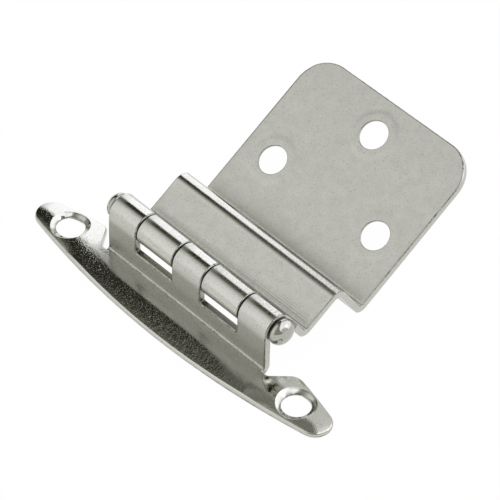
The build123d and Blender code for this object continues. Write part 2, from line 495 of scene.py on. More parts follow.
@dataclass(frozen=True)
class PlatedFinish:
    """Nickel plate over steel, as a node material.

    Two painted values of the mesh guide it: peel is how rough the plating lies, painted_shade how much shade
    is painted into its colour.
    A span is the part of a noise that counts, and the pair after it is what that part becomes.
    """

    name: str
    grain: Grain
    tint: Triple
    roughness: float
    flat_roughness: float = 0.3
    smooth_span: Pair = (0.12, 0.35)
    drift_size: float = 1.6
    drift: tuple[Pair, Pair] = ((0.3, 0.7), (0.85, 1.15))
    peel_depth: float = 0.01
    peel_size: float = 0.24
    grit_depth: float = 0.0088
    grit_size: float = 0.2
    grit_span: Pair = (0.62, 0.8)
    ripple_depth: float = 0.016
    ripple_size: float = 0.7
    dent_depth: float = 0.03
    dent_size: float = 0.9
    scratch_depth: float = 0.003
    scratch_size: float = 0.14
    scratch_deg: float = 35.0
    scratch_stretch: Triple = (1.0, 0.08, 0.08)
    cloud_size: float = 3.0
    cloud_span: Pair = (0.35, 0.65)
    cloud_shade: float = 0.982
    speck_size: float = 0.26
    specks: Stops = ((0.31, (0.74, 0.74, 0.73)), (0.41, (0.97, 0.97, 0.97)), (0.62, WHITE))
    # dark colour that the painted shade mixes into the plating
    shade_colour: Triple = (0.03, 0.03, 0.02)
    bead_size: float = 0.45
    beads: tuple[Pair, Pair] = ((0.4, 0.62), (0.5, 1.2))
    break_size: float = 1.5
    breaks: tuple[Pair, Pair] = ((0.38, 0.58), (0.55, 1.15))
    # share of the painted shade kept where it is thin; where thick it breaks into beads
    thin_shade: float = 0.85
    thick_span: Pair = (0.4, 0.65)

    def build(self) -> bpy.types.Material:
        """Makes the node material.

        Returns:
            The material, on Object coordinates and painted values only.
        """
        material = bpy.data.materials.new(self.name)
        material.use_nodes = True
        wire = Wiring(material.node_tree)
        place = wire.add("ShaderNodeTexCoord").outputs["Object"]
        surface = {
            "Metallic": 1.0,
            "Base Color": self._colour(wire, place),
            "Roughness": self._sheen(wire, place),
            "Normal": self._relief(wire, place),
        }
        wire.feed(wire.tree.nodes["Principled BSDF"], surface)
        return material

    def _colour(self, wire: Wiring, place: Socket) -> Socket:
        """Clouds and specks the plate, and lays painted shade on it: smooth where thin, in beads where thick.

        Args:
            wire: wiring of the material.
            place: Object coordinates.

        Returns:
            The colour.
        """
        dull = tuple(c * self.cloud_shade for c in self.tint)
        base = wire.ramp(wire.noise(place, self.cloud_size, 4.0), zip(self.cloud_span, (dull, self.tint)))
        mask = wire.ramp(wire.noise(place, self.speck_size, 2.0), self.specks)
        plate = wire.mix("MULTIPLY", 1.0, base, mask)
        # painted shade, read from the mesh
        painted_shade = wire.painted("painted_shade")
        beads = wire.remap(wire.noise(place, self.bead_size, 2.0), *self.beads)
        breaks = wire.remap(wire.noise(place, self.break_size, 1.0), *self.breaks)
        marks = wire.math("MULTIPLY", painted_shade, beads, clamp=True)
        marks = wire.math("MULTIPLY", marks, breaks, clamp=True)
        thin = wire.math("MULTIPLY", painted_shade, self.thin_shade, clamp=True)
        thick = wire.remap(painted_shade, self.thick_span)
        amount = wire.add("ShaderNodeMix", {0: thick, 2: thin, 3: marks}).outputs[0]
        # darkens the colour towards the painted shade's dark colour
        return wire.mix("MIX", amount, plate, (*self.shade_colour, 1.0))

    def _sheen(self, wire: Wiring, place: Socket) -> Socket:
        """Roughness that is lower where the peel is strong and drifts a little over the surface.

        Args:
            wire: wiring of the material.
            place: Object coordinates.

        Returns:
            The roughness.
        """
        base = wire.remap(wire.painted("peel"), self.smooth_span, (self.flat_roughness, self.roughness))
        drift = wire.remap(wire.noise(place, self.drift_size, 3.0), *self.drift)
        return wire.math("MULTIPLY", base, drift, clamp=True)

    def _relief(self, wire: Wiring, place: Socket) -> Socket:
        """Peel of the plating, with the marks that its grain calls for, as bumps.

        Args:
            wire: wiring of the material.
            place: Object coordinates.

        Returns:
            The bumped normal.
        """
        share = wire.painted("peel")
        grit = wire.remap(wire.noise(place, self.grit_size, 0.0), self.grit_span)
        layers = [
            (wire.noise(place, self.peel_size, 1.0), self.peel_depth, share),
            (grit, self.grit_depth, share),
            (wire.noise(place, self.ripple_size, 1.0), self.ripple_depth, share),
        ]
        if self.grain is Grain.SATIN:
            turn = (0.0, 0.0, math.radians(self.scratch_deg))
            drawn = {"Vector": place, "Rotation": turn, "Scale": self.scratch_stretch}
            hairs = wire.add("ShaderNodeMapping", drawn).outputs["Vector"]
            layers.append((wire.noise(hairs, self.scratch_size, 1.0), self.scratch_depth, 1.0))
        elif self.grain is Grain.DENTED:
            layers.append((wire.noise(place, self.dent_size, 1.0), self.dent_depth, 1.0))
        below: Feed = {}
        for height, depth, strength in layers:
            bump = {"Height": height, "Distance": depth * MM, "Strength": strength}
            below = {"Normal": wire.add("ShaderNodeBump", bump | below).outputs["Normal"]}
        return below["Normal"]


@dataclass
class FoldedLeaf(ABC):
    """A leaf pressed from one piece of sheet: a flat blank bent along a section."""

    name: str
    body: str
    slot: str
    finish: PlatedFinish
    sheet: float = 1.25
    back_break: float = 0.12
    ring_points: int = 72
    rim_steps: int = 5
    bend_step_deg: float = 6.0
    seed_grid: float = 0.08
    seed_gap: float = 0.12
    front_share: Pair = (0.9, 0.35)
    back_share: float = 0.3
    least_peel: float = 0.06

    @abstractmethod
    def outline(self) -> Array:
        """Outer loop of the blank, anticlockwise, in x and s."""

    @abstractmethod
    def holes(self) -> list[RoundHole]:
        """The blank's pierced holes."""

    @abstractmethod
    def rim(self, loop: Array) -> tuple[Array, Array]:
        """Width and height of the front edge's round at each point of the outer loop."""

    @abstractmethod
    def seeds(self) -> Array:
        """Points inside the blank that let its faces follow bends and swells."""

    @abstractmethod
    def relief(self, x: Array, s: Array) -> Array:
        """Height of the front face above the plain sheet."""

    @abstractmethod
    def back_relief(self, x: Array, s: Array) -> Array:
        """Height of the back face above the plain sheet."""

    @abstractmethod
    def painted_shade(self, x: Array, s: Array, depth: Array) -> Array:
        """Share of painted shade at points of the blank, from 0 to 1."""

    @abstractmethod
    def peel(self, x: Array, s: Array) -> Array:
        """Share of the plating's peel at points of the blank, from 0 to 1."""

    @abstractmethod
    def fold(self, flat: Array, normal: Array) -> tuple[Array, Array]:
        """Takes blank points and normals to their places in the row frame, in millimetres."""

    def _rim_rows(self, loop: Array) -> tuple[Rows, Rows]:
        """Rows over the sheet's edge, from the front face to the back face.

        Args:
            loop: the blank's outer loop.

        Returns:
            One array of x, s, depth for each row, and one array of normals for each.
        """
        into = inward(loop)
        out = -unit(into)
        rows, normals = [], []
        back = np.full(len(loop), self.back_break)
        for width, height, lift in ((*self.rim(loop), 1), (back, back, -1)):
            for k in range(self.rim_steps + 1)[::lift]:
                angle = QUARTER * k / self.rim_steps
                inset = width * (1 - math.sin(angle))
                drop = height * (1 - math.cos(angle))
                depth = -drop if lift > 0 else drop - self.sheet
                rows.append(np.column_stack([loop + into * inset[:, None], depth]))
                sideways = out * (height * math.sin(angle))[:, None]
                normals.append(unit(np.column_stack([sideways, lift * width * math.cos(angle)])))
        return rows, normals

    def _cap(self, flat: Array, loops: Rows, front: bool) -> tuple[Array, list[list[int]]]:
        """Triangles of one face of the sheet between its loops.

        Args:
            flat: x, s of every loop point made so far.
            loops: indices of the outer loop and then of each hole's loop.
            front: whether it is the front face.

        Returns:
            The x, s of the new points inside, and triangles whose indices count those after the given ones.
        """
        seeds = self.seeds()
        _, kept = np.unique(np.round(seeds / self.seed_grid), axis=0, return_index=True)
        seeds = seeds[np.sort(kept)]
        seeds = seeds[inside_loop(seeds, flat[loops[0]])]
        for hole, loop in zip(self.holes(), loops[1:]):
            seeds = seeds[hole.away(seeds) > hole.away(flat[loop[:1]])]
        rims = np.concatenate([flat[loop] for loop in loops])
        gap = np.min(np.linalg.norm(seeds[:, None, :] - rims[None], axis=2), axis=1)
        seeds = seeds[gap > self.seed_gap]
        index = np.concatenate(loops + [len(flat) + np.arange(len(seeds))])
        points = [Vector(p) for p in np.concatenate([rims, seeds])]
        edges, first = [], 0
        for loop in loops:
            edges += [(first + i, first + (i + 1) % len(loop)) for i in range(len(loop))]
            first += len(loop)
        found, _, faces, origin, _, _ = delaunay_2d_cdt(points, edges, [], CDT_INSIDE, CDT_EPSILON)
        middles = np.array([sum((found[v] for v in face), Vector((0, 0))) / len(face) for face in faces])
        solid = np.ones(len(faces), bool)
        for loop in loops[1:]:
            solid &= ~inside_loop(middles, flat[loop])
        triangles = []
        for face, whole in zip(faces, solid):
            if whole:
                corners = [int(index[origin[v][0]]) for v in face]
                triangles.append(corners if front else corners[::-1])
        return seeds, triangles

    def build_mesh(self) -> bpy.types.Mesh:
        """Makes the folded leaf as one closed mesh with smooth normals.

        Returns:
            The mesh in metres, in the row frame.
        """
        flat, normal, faces = [], [], []
        front_loops, back_loops = [], []
        count = 0
        walls = [self._rim_rows(self.outline())] + [hole.rows(self.ring_points) for hole in self.holes()]
        for rows, normals in walls:
            size = len(rows[0])
            flat += rows
            normal += normals
            for upper in range(count, count + (len(rows) - 1) * size, size):
                lower = upper + size
                for i in range(size):
                    j = (i + 1) % size
                    faces.append([upper + i, lower + i, lower + j, upper + j])
            front_loops.append(count + np.arange(size))
            count += len(rows) * size
            back_loops.append(count - size + np.arange(size))
        for loops, front in ((front_loops, True), (back_loops, False)):
            seeds, triangles = self._cap(np.concatenate(flat)[:, :2], loops, front)
            depth = np.full(len(seeds), 0.0 if front else -self.sheet)
            flat.append(np.column_stack([seeds, depth]))
            normal.append(np.tile((0.0, 0.0, 1.0 if front else -1.0), (len(seeds), 1)))
            faces += triangles
        return self._finish_mesh(np.concatenate(flat), np.concatenate(normal), faces)

    def _finish_mesh(self, flat: Array, normal: Array, faces: list[list[int]]) -> bpy.types.Mesh:
        """Adds the relief of both faces, folds the blank and writes the mesh.

        Args:
            flat: x, s, depth of the blank's points.
            normal: their normals.
            faces: the faces between them.

        Returns:
            The mesh in metres, in the row frame.
        """
        x, s, depth = flat.copy().T
        step = 0.01
        near_front = np.clip((depth + self.front_share[0]) / self.front_share[1], 0, 1)
        near_back = 1 - np.clip((depth + self.sheet) / self.back_share, 0, 1)
        for shape, weight, side in ((self.relief, near_front, 1.0), (self.back_relief, near_back, -1.0)):
            flat[:, 2] += shape(x, s) * weight
            facing = np.clip(normal[:, 2] * side, 0, 1) * weight * side
            normal[:, 0] -= facing * (shape(x + step, s) - shape(x - step, s)) / (2 * step)
            normal[:, 1] -= facing * (shape(x, s + step) - shape(x, s - step)) / (2 * step)
        placed, turned = self.fold(flat, normal)
        mesh = bpy.data.meshes.new(self.name)
        mesh.from_pydata((placed * MM).tolist(), [], faces)
        mesh.polygons.foreach_set("use_smooth", [True] * len(mesh.polygons))
        mesh.normals_split_custom_set_from_vertices(unit(turned).tolist())
        # paints shade into the mesh for the material
        paint(mesh, "painted_shade", self.painted_shade(x, s, depth))
        paint(mesh, "peel", self.peel(x, s))
        mesh.update()
        return mesh

    def dress(self, node: str) -> bpy.types.Object:
        """Builds the leaf, gives it its finish and sets it in place of its solid.

        Args:
            node: name of the solid that the leaf stands for.

        Returns:
            The finished piece.
        """
        piece = bpy.data.objects.new(self.name, self.build_mesh())
        bpy.context.scene.collection.objects.link(piece)
        piece.data.materials.append(self.finish.build())
        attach(piece, self.body)
        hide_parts(node)
        log.info("%s: %d points, %d faces", self.name, len(piece.data.vertices), len(piece.data.polygons))
        return piece


@dataclass(frozen=True)
class Barrel:
    """Sizes that the two leaves and the pin share."""

    length: float = 38.1
    slot: float = 8.95
    middle: float = 6.8
    gap: float = 0.2
    outside: float = 2.75
    sweep_deg: float = 290.0
    axis_y: float = 3.82
    axis_z: float = 9.1
    plate_front: float = 1.65
    rolled_peel: float = 0.38

    @property
    def half(self) -> float:
        """Half of the barrel's length."""
        return self.length / 2

    @property
    def span(self) -> Pair:
        """Both ends of the barrel."""
        return -self.half, self.half

    @property
    def slot_centre(self) -> float:
        """Distance of each slot's centre from the middle."""
        return (self.middle + self.slot) / 2

    @staticmethod
    def worn(past: Array) -> Array:
        """Share of the peel along a knuckle, which is worn at its left end."""
        return 0.3 + 0.7 * ease(0.0, 3.5, past)


BARREL = Barrel()


@dataclass
class FrameLeaf(FoldedLeaf):
    """Boat-shaped plate, upright wall with two slots, and three knuckles."""

    half_length: float = 35.1
    tip_radius: float = 2.95
    tip_y: float = -4.0
    outer_y: float = -10.22
    inner_y: float = 3.1
    hollow: float = 0.4
    rim_width: float = 1.6
    rim_slope: float = 0.4
    crest_y: float = -4.44
    crown_radius: float = 20.5
    ear_bow: float = 26.0
    fold_radius: float = 0.45
    ease_radius: float = 10.9
    ease_deg: float = 9.0
    notch_radius: float = 0.8
    ear_slope_deg: float = 53.0
    ear_corner: float = 2.0
    slot_drop: float = 3.9
    hole_x: float = 27.65
    hole_y: float = -3.82
    hole_radius: float = 2.5
    sink_radius: float = 3.4
    boat_rim: float = 0.28
    boat_rim_drop: float = 0.45
    rim_growth: float = 4.0
    least_rim: float = 0.1
    sink_gap: float = 0.12
    arc_points: tuple[int, ...] = (48, 28, 14, 9)
    ear_fall: float = 0.33
    ear_reach: float = 3.0
    ear_span: Pair = (20.0, 25.0)
    tip_drop: float = 0.45
    tip_span: Pair = (22.0, 36.0)
    knuckle_rim: float = 0.26
    corner: float = 0.3
    plate_grid: Pair = (0.45, 0.9)
    wall_grid: Pair = (0.8, 1.0)
    bend_grid: float = 0.6
    crease_grid: float = 0.5
    mark_grid: float = 0.2
    # painted shade: a dark line on the edges' rounds, shade on the cut faces of the slots, and along the
    # plate's bottom edge
    edge_line: Table = ((0.0, 0.01, 0.06, 0.18), (0.0, 0.75, 0.7, 0.0))
    cut_shade: Table = ((0.15, 0.27, 1.0, 1.2, 1.25), (0.0, 0.7, 0.8, 0.4, 0.05))
    bottom_shade: Table = ((0.5, 1.1, 1.2, 1.25), (0.0, 0.8, 0.5, 0.1))
    slot_floor_share: float = 0.45
    left_end_share: float = 0.3
    ear_line_share: float = 0.7
    # painted shade on the plate next to the fold, and on the wall below the knuckles
    fold_shade: float = 0.28
    fold_span: Pair = (-6.3, -4.6)
    wall_shade: float = 0.15
    crease_share: float = 0.7
    # painted shade below the fold by the wall's left end
    left_notch_shade: Spot = Spot(-18.6, -4.1, (2.0, 1.1), 0.75)
    flank_span: Pair = (-8.0, -5.7)
    flank_loss: float = 0.85
    left_span: Pair = (-22.0, -14.0)
    left_shift: float = 2.4
    right_span: Pair = (3.0, 17.0)
    right_loss: float = 0.72
    ear_peel: Pair = (0.55, 0.5)
    ear_bare: float = 0.24
    ear_bare_span: Pair = (-4.8, -3.4)

    def __post_init__(self) -> None:
        """Lays out the marks and two sections: one runs up the wall, the other stays on the plate."""
        spare = self.ease_radius - BARREL.outside
        ease_turn = math.radians(self.ease_deg)
        self.fold_y = -BARREL.outside - spare * (1 - math.cos(ease_turn)) - self.fold_radius
        first = self.outer_y - self.sheet
        front = BARREL.plate_front
        rise = BARREL.axis_z - spare * math.sin(ease_turn) - front - self.fold_radius
        flat = Run(self.fold_y - first)
        wall = [
            bend(self.fold_radius, 90),
            Run(rise),
            bend(self.ease_radius, -self.ease_deg),
            bend(BARREL.outside, self.ease_deg - BARREL.sweep_deg),
        ]
        self.wall_path = FoldPath((first, front), 0.0, [flat] + wall, first)
        self.ear_path = FoldPath((first, front), 0.0, [flat, Run(rise)], first)
        *_, ease_end, self.roll_end = self.wall_path.marks
        self.axis_s = ease_end - BARREL.outside * math.sin(ease_turn)
        self.press_mark = Spot(BARREL.half + 1.9, self.fold_y - 0.55, (0.55, 0.55), 0.12)
        # painted shade by both notches, below the fold
        self.notch_shade = Spot(BARREL.half + 0.3, self.fold_y - 0.5, (1.6, 1.6), 0.4)

    def _long_arc(self, apex: float) -> Pair:
        """Long edge of the plate, which is tangent to both round tips.

        Args:
            apex: place of the edge on the middle line.

        Returns:
            The edge's radius and the place of its centre on the middle line.
        """
        tip_x = self.half_length - self.tip_radius
        rise = abs(apex - self.tip_y)
        radius = (tip_x**2 + rise**2 - self.tip_radius**2) / (2 * (rise - self.tip_radius))
        return radius, apex - math.copysign(radius, apex - self.tip_y)

    def _right_plan(self) -> list[Corner]:
        """Right half of the plate's outline in plan.

        Returns:
            Its corners, from the outer apex round the tip to the wall's end.
        """
        tip = (self.half_length - self.tip_radius, self.tip_y)
        outer_r, outer_c = self._long_arc(self.outer_y)
        inner_r, inner_c = self._long_arc(self.inner_y)
        angle_out = math.atan2(tip[1] - outer_c, tip[0])
        angle_in = math.atan2(tip[1] - inner_c, tip[0])
        slope = math.radians(self.ear_slope_deg)
        centre = np.array([BARREL.half + self.notch_radius, self.fold_y + self.notch_radius])
        touch = centre + self.notch_radius * np.array([math.sin(slope), -math.cos(slope)])
        along = np.array([math.cos(slope), math.sin(slope)])
        reach = touch - (0, inner_c)
        run = -reach @ along + math.sqrt((reach @ along) ** 2 - reach @ reach + inner_r**2)
        ear = touch + along * run
        ear_angle = math.atan2(ear[1] - inner_c, ear[0])
        on_outer, on_tip, on_inner, on_notch = self.arc_points
        return [
            *arc((0.0, outer_c), outer_r, np.linspace(-QUARTER, angle_out, on_outer)[1:]),
            *arc(tip, self.tip_radius, np.linspace(angle_out, angle_in, on_tip)[1:]),
            *arc((0.0, inner_c), inner_r, np.linspace(angle_in, ear_angle, on_inner)[1:-2]),
            (*ear, self.ear_corner),
            *arc(centre, self.notch_radius, np.linspace(slope - QUARTER, -QUARTER, on_notch)),
            (BARREL.half, self.fold_y, 0.0),
        ]

    def _bend_levels(self) -> list[float]:
        """Distances that cut the wall's bends, without the line where the fold begins."""
        return [v for v in self.wall_path.levels(self.bend_step_deg) if v > self.fold_y + TINY]

    def outline(self) -> Array:
        """Outer loop of the blank.

        Returns:
            The loop of x, s, anticlockwise.
        """
        slot_floor = self.axis_s - self.slot_drop
        inner, outer = BARREL.middle / 2, BARREL.middle / 2 + BARREL.slot
        steps = [
            (BARREL.half, self.roll_end),
            (outer, self.roll_end),
            (outer, slot_floor),
            (inner, slot_floor),
            (inner, self.roll_end),
        ]
        half = self._right_plan() + [(x, s, self.corner) for x, s in steps]
        mirrored = [(-x, s, r) for x, s, r in reversed(half)]
        loop = round_corners([(0.0, self.outer_y, 0.0)] + half + mirrored)
        return cut_at_levels(loop, self._bend_levels(), BARREL.half)

    def holes(self) -> list[RoundHole]:
        """Pierces the plate.

        Returns:
            Two holes with countersinks on the front.
        """
        sink, hole = self.sink_radius, self.hole_radius
        drop = sink - hole
        profile = (
            (sink + 0.07, 0.0),
            (sink + 0.03, 0.008),
            (sink - 0.02, 0.045),
            (sink - drop * 0.35, drop * 0.35),
            (hole + drop * 0.35, drop * 0.65),
            (hole + 0.06, drop - 0.04),
            (hole, drop + 0.03),
            (hole, drop + 0.1),
            (hole + 0.02, self.sheet - 0.05),
            (hole + 0.08, self.sheet),
        )
        return [RoundHole(side * self.hole_x, self.hole_y, profile) for side in (-1, 1)]

    def rim(self, loop: Array) -> tuple[Array, Array]:
        """Rounds the front edge: boldly on the plate's rim, a little on the wall and knuckles.

        Args:
            loop: the blank's outer loop.

        Returns:
            Width of the round, less where a countersink comes near, and its height.
        """
        across = np.abs(loop[:, 0])
        grown = np.clip((across - BARREL.half) / self.rim_growth, 0, 1)
        grown = np.where(loop[:, 1] < self.crest_y, 1.0, grown)
        width = self.knuckle_rim + (self.boat_rim - self.knuckle_rim) * grown
        height = self.knuckle_rim + (self.boat_rim_drop - self.knuckle_rim) * grown
        to_hole = np.hypot(across - self.hole_x, loop[:, 1] - self.hole_y) - self.sink_radius
        return np.minimum(width, np.maximum(self.least_rim, to_hole - self.sink_gap)), height

    def relief(self, x: Array, s: Array) -> Array:
        """The crown, which falls from its crest to the outer edge and the tips, and a press mark.

        Args:
            x, s: places on the blank.

        Returns:
            The height at each place, zero or less.
        """
        across = np.abs(x)
        outer = np.clip(self.crest_y - s, 0, None)
        inner = np.clip(s - self.crest_y, 0, None) * ease(BARREL.half, BARREL.half + 3.0, across)
        near_rim = np.clip(1 - self._from_rim(x, s) / self.ear_reach, 0, 1)
        fall = self.ear_fall * near_rim**2 * ease(*self.ear_span, across)
        fall += self.tip_drop * ease(*self.tip_span, across) + self.press_mark.at(x, s)
        return -(outer**2) / (2 * self.crown_radius) - inner**2 / (2 * self.ear_bow) - fall

    def _from_rim(self, x: Array, s: Array) -> Array:
        """Distance of places of the plate from its long edges and round tips.

        Args:
            x, s: places on the blank.

        Returns:
            The distances.
        """
        tip_x = self.half_length - self.tip_radius
        inside = np.full(len(x), np.inf)
        for apex in (self.outer_y, self.inner_y):
            radius, centre = self._long_arc(apex)
            inside = np.minimum(inside, radius - np.hypot(x, s - centre))
        past_tip = self.tip_radius - np.hypot(np.abs(x) - tip_x, s - self.tip_y)
        return np.where(np.abs(x) > tip_x, np.minimum(inside, past_tip), inside)

    def back_relief(self, x: Array, s: Array) -> Array:
        """The flat rim that stands proud of the hollow back.

        Args:
            x, s: places on the blank.

        Returns:
            The height at each place, zero or less.
        """
        span = (self.rim_width - self.rim_slope, self.rim_width + self.rim_slope)
        rim = -self.hollow * (1 - ease(*span, self._from_rim(x, s)))
        on_wall = (np.abs(x) < BARREL.half + 0.2) & (s > self.crest_y)
        return np.where(on_wall, 0.0, rim)

    def painted_shade(self, x: Array, s: Array, depth: Array) -> Array:
        """Painted shade on the cut edges of slots and gaps, in the fold and by the notches.

        Args:
            x, s, depth: places on the blank and through its sheet.

        Returns:
            The share of painted shade at each place.
        """
        half, pin, across = BARREL.half, self.axis_s, np.abs(x)
        on_wall = (across < half + 0.05) & (s > self.fold_y + 0.3)
        # each term below is painted shade: edge lines, cut faces, crease, wall under the knuckles, plate by
        # the fold, bottom edge
        line = np.interp(-depth, *self.edge_line)
        line = np.where((x < 0.6 - half) & (s > pin - 2), self.left_end_share * line, line)
        cut = np.interp(-depth, *self.cut_shade)
        cut *= np.where(s < pin - self.slot_drop + 0.2, self.slot_floor_share, 1.0)
        slots = np.where(across < half - 0.6, np.maximum(line, cut), line)
        crease = self.crease_share * soft_line(s - self.fold_y - 0.34, 0.1) * (across < half)
        wall = self.wall_shade * ease(pin - 4.0, pin - 2.0, s) * (1 - ease(pin - 1.4, pin, s))
        fold = self.fold_shade * ease(*self.fold_span, s) * (1 - ease(half - 1.0, half + 0.5, across))
        bottom = np.interp(-depth, *self.bottom_shade)
        ear_line = np.where((across > half) & (s > self.crest_y + 2), self.ear_line_share * line, 0.0)
        # painted shade by the notches
        notch_shades = [self.notch_shade.at(across, s), self.left_notch_shade.at(x, s)]
        on_plate = np.maximum.reduce([bottom, ear_line, fold, crease, *notch_shades])
        return np.where(on_wall, np.maximum.reduce([slots, crease, wall]), on_plate)

    def peel(self, x: Array, s: Array) -> Array:
        """Strong peel on the crown's outer flank and the knuckles, little on the wall and the ears.

        Args:
            x, s: places on the blank.

        Returns:
            The share of peel at each place.
        """
        half, across = BARREL.half, np.abs(x)
        shifted = s - self.left_shift * (1 - ease(*self.left_span, x))
        flank = 1 - self.flank_loss * ease(*self.flank_span, shifted)
        flank *= 1 - self.right_loss * ease(*self.right_span, x)
        crease = self.crease_share * soft_line(s - self.fold_y - 0.25, 0.4) * (across < half)
        rolled = BARREL.rolled_peel * ease(self.axis_s + 0.5, self.axis_s + 3.0, s) * (across < half)
        for start in (-half, -BARREL.middle / 2, BARREL.middle / 2 + BARREL.slot):
            on_knuckle = (x >= start - 0.1) & (x < start + BARREL.middle + 0.1)
            rolled = np.where(on_knuckle, rolled * BARREL.worn(x - start), rolled)
        left, right = self.ear_peel
        ears = np.where(x < 0, left, right - self.ear_bare * ease(*self.ear_bare_span, s))
        ears *= ease(half, half + 1.5, across)
        return np.clip(np.maximum.reduce([flank, crease, rolled, ears]), self.least_peel, 1)

    def seeds(self) -> Array:
        """Rows across the plate's crown, the wall, the bends and the press mark.

        Returns:
            The points as an array of x, s.
        """
        half, fold, whole = BARREL.half, self.fold_y, (-self.half_length, self.half_length)
        s_step, x_step = self.plate_grid
        wall_s, wall_x = self.wall_grid
        ears = lattice(whole, np.arange(fold + s_step, 2.0, s_step), x_step)
        rows = [
            lattice(whole, np.arange(-11.2, fold + 0.01, s_step), x_step),
            ears[np.abs(ears[:, 0]) > half],
            lattice(BARREL.span, [fold], self.crease_grid),
            lattice(BARREL.span, self._bend_levels(), self.bend_grid),
            lattice(BARREL.span, np.arange(fold + 0.9, self.axis_s - 0.3, wall_s), wall_x),
            lattice((half + 0.7, half + 3.1), fold - np.arange(0.2, 1.7, self.mark_grid), self.mark_grid),
        ]
        return np.concatenate(rows)

    def fold(self, flat: Array, normal: Array) -> tuple[Array, Array]:
        """Bends the blank: the wall goes up, and the ears stay on the plate.

        Args:
            flat: x, s, depth of the blank's points.
            normal: their normals.

        Returns:
            The points and normals in the row frame.
        """
        on_wall = (np.abs(flat[:, 0]) < BARREL.half + 1e-4) & (flat[:, 1] > self.fold_y)
        placed, turned = flat.copy(), normal.copy()
        for mask, path in ((on_wall, self.wall_path), (~on_wall, self.ear_path)):
            point, tangent, front = path.at(flat[mask, 1])
            placed[mask, 1:] = point + front * flat[mask, 2:3] + (BARREL.axis_y, 0)
            turned[mask, 1:] = tangent * normal[mask, 1:2] + front * normal[mask, 2:3]
        return placed, turned


